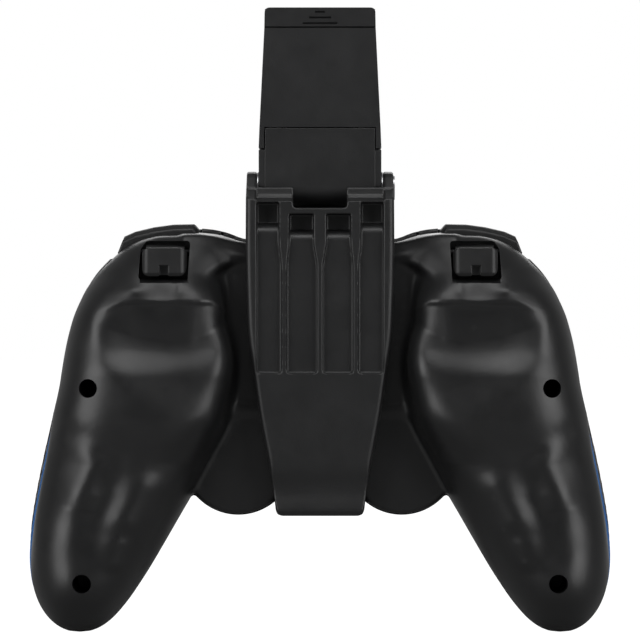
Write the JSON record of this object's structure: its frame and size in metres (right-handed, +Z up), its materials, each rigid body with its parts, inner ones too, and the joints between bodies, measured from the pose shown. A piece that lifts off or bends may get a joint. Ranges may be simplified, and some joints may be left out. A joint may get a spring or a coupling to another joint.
{
  "type": "gamepad with phone clip",
  "caption": "Black handheld game controller with two grips, thumb sticks, triggers and a hinged spring-loaded phone holder clipped round its middle.",
  "frame": {"origin": "on the level of the grip tips, midway between them and midway between the palm humps' back and the stick caps' tops", "axes": "+Z up from the grip tips to the phone holder, +Y from the back to the face with the sticks, +X towards the player's left hand"},
  "size_m": [0.155, 0.0529, 0.1653],
  "materials": {
    "shell_black": "fine satin texture",
    "clip_black": "satin",
    "button_black": "semi gloss",
    "trim_blue": "satin",
    "rubber_dark": "matte",
    "steel": "plain",
    "inner_plastic": "natural",
    "board_green": "solder mask",
    "cell_wrap": "foil pouch",
    "pipe_clear": "clear"
  },
  "bodies": {
    "case": {"back_shell": "shell_black", "front_shell": "shell_black", "clip_band": "clip_black", "dpad_membrane": "rubber_dark", "button_membrane": "rubber_dark", "hinge_pin": "steel", "case_screws": "steel", "board_screws": "steel", "usb_socket": "steel", "dpad_post": "inner_plastic", "main_board": "board_green", "battery": "cell_wrap", "light_pipe": "pipe_clear", "left_trim": "trim_blue", "left_bumper_pin": "steel", "left_trigger_pin": "steel", "left_hinge_washer": "steel", "left_side_board": "board_green", "left_stick_module": "inner_plastic", "right_trim": "trim_blue", "right_bumper_pin": "steel", "right_trigger_pin": "steel", "right_hinge_washer": "steel", "right_side_board": "board_green", "right_stick_module": "inner_plastic"},
    "phone_arm": {"arm_base": "clip_black", "lower_pad": "rubber_dark", "rest_pad": "rubber_dark"},
    "sleeve": {"slide_sleeve": "clip_black"},
    "jaw": {"phone_jaw": "clip_black", "upper_pad": "rubber_dark"},
    "dpad_rocker": {"dpad_cap": "inner_plastic"},
    "dpad": {"dpad": "button_black"},
    "face_button_1": {"face_button_1": "button_black"},
    "face_button_2": {"face_button_2": "button_black"},
    "face_button_3": {"face_button_3": "button_black"},
    "face_button_4": {"face_button_4": "button_black"},
    "select": {"select_button": "button_black"},
    "start": {"start_button": "button_black"},
    "home": {"home_button": "button_black"},
    "left_trigger": {"left_trigger": "button_black"},
    "left_bumper": {"left_bumper": "button_black"},
    "left_yoke": {"left_stick_yoke": "inner_plastic"},
    "left_hub": {"left_stick_hub": "inner_plastic"},
    "left_stick": {"left_stick_cap": "button_black", "left_stick_top": "rubber_dark"},
    "right_trigger": {"right_trigger": "button_black"},
    "right_bumper": {"right_bumper": "button_black"},
    "right_yoke": {"right_stick_yoke": "inner_plastic"},
    "right_hub": {"right_stick_hub": "inner_plastic"},
    "right_stick": {"right_stick_cap": "button_black", "right_stick_top": "rubber_dark"}
  },
  "joints": [
    {"name": "arm_tilt", "type": "hinge", "parent": "case", "child": "phone_arm", "pos_m": [0, -0.0035, 0.1176], "axis": [-1, 0, 0], "range_deg": [-15, 30]},
    {"name": "sleeve_slide", "type": "slide", "parent": "phone_arm", "child": "sleeve", "axis": [0, 0, 1], "range_m": [0, 0.018], "stiffness_N_per_m": 200},
    {"name": "jaw_slide", "type": "slide", "parent": "sleeve", "child": "jaw", "axis": [0, 0, 1], "range_m": [0, 0.018], "stiffness_N_per_m": 200},
    {"name": "left_trigger_press", "type": "hinge", "parent": "case", "child": "left_trigger", "pos_m": [0.0409, -0.01, 0.1002], "axis": [1, 0, 0], "range_deg": [0, 7], "stiffness_Nm_per_rad": 0.05},
    {"name": "left_bumper_press", "type": "hinge", "parent": "case", "child": "left_bumper", "pos_m": [0.035, 0.002, 0.1026], "axis": [0, 1, 0], "range_deg": [0, 3], "stiffness_Nm_per_rad": 0.3},
    {"name": "left_stick_up_down", "type": "hinge", "parent": "case", "child": "left_yoke", "pos_m": [0.0218, 0.0055, 0.0456], "axis": [1, 0, 0], "range_deg": [-17, 17], "stiffness_Nm_per_rad": 0.02},
    {"name": "left_stick_left_right", "type": "hinge", "parent": "left_yoke", "child": "left_hub", "pos_m": [0.0218, 0.0055, 0.0456], "axis": [0, 0, 1], "range_deg": [-17, 17], "stiffness_Nm_per_rad": 0.02},
    {"name": "left_stick_click", "type": "slide", "parent": "left_hub", "child": "left_stick", "axis": [0, -1, 0], "range_m": [0, 0.0005], "stiffness_N_per_m": 300},
    {"name": "right_trigger_press", "type": "hinge", "parent": "case", "child": "right_trigger", "pos_m": [-0.0409, -0.01, 0.1002], "axis": [1, 0, 0], "range_deg": [0, 7], "stiffness_Nm_per_rad": 0.05},
    {"name": "right_bumper_press", "type": "hinge", "parent": "case", "child": "right_bumper", "pos_m": [-0.035, 0.002, 0.1026], "axis": [0, -1, 0], "range_deg": [0, 3], "stiffness_Nm_per_rad": 0.3},
    {"name": "right_stick_up_down", "type": "hinge", "parent": "case", "child": "right_yoke", "pos_m": [-0.0218, 0.0055, 0.0456], "axis": [1, 0, 0], "range_deg": [-17, 17], "stiffness_Nm_per_rad": 0.02},
    {"name": "right_stick_left_right", "type": "hinge", "parent": "right_yoke", "child": "right_hub", "pos_m": [-0.0218, 0.0055, 0.0456], "axis": [0, 0, 1], "range_deg": [-17, 17], "stiffness_Nm_per_rad": 0.02},
    {"name": "right_stick_click", "type": "slide", "parent": "right_hub", "child": "right_stick", "axis": [0, -1, 0], "range_m": [0, 0.0005], "stiffness_N_per_m": 300},
    {"name": "dpad_rock_up_down", "type": "hinge", "parent": "case", "child": "dpad_rocker", "pos_m": [0.0455, 0.0085, 0.076], "axis": [1, 0, 0], "range_deg": [-4, 4], "stiffness_Nm_per_rad": 0.08},
    {"name": "dpad_rock_left_right", "type": "hinge", "parent": "dpad_rocker", "child": "dpad", "pos_m": [0.0455, 0.0085, 0.076], "axis": [0, 0, 1], "range_deg": [-4, 4], "stiffness_Nm_per_rad": 0.08},
    {"name": "face_button_1_press", "type": "slide", "parent": "case", "child": "face_button_1", "axis": [0, -1, 0], "range_m": [0, 0.0012], "stiffness_N_per_m": 400},
    {"name": "face_button_2_press", "type": "slide", "parent": "case", "child": "face_button_2", "axis": [0, -1, 0], "range_m": [0, 0.0012], "stiffness_N_per_m": 400},
    {"name": "face_button_3_press", "type": "slide", "parent": "case", "child": "face_button_3", "axis": [0, -1, 0], "range_m": [0, 0.0012], "stiffness_N_per_m": 400},
    {"name": "face_button_4_press", "type": "slide", "parent": "case", "child": "face_button_4", "axis": [0, -1, 0], "range_m": [0, 0.0012], "stiffness_N_per_m": 400},
    {"name": "select_press", "type": "slide", "parent": "case", "child": "select", "axis": [0, -1, 0], "range_m": [0, 0.0008], "stiffness_N_per_m": 600},
    {"name": "start_press", "type": "slide", "parent": "case", "child": "start", "axis": [0, -1, 0], "range_m": [0, 0.0008], "stiffness_N_per_m": 600},
    {"name": "home_press", "type": "slide", "parent": "case", "child": "home", "axis": [0, -1, 0], "range_m": [0, 0.0008], "stiffness_N_per_m": 600}
  ]
}
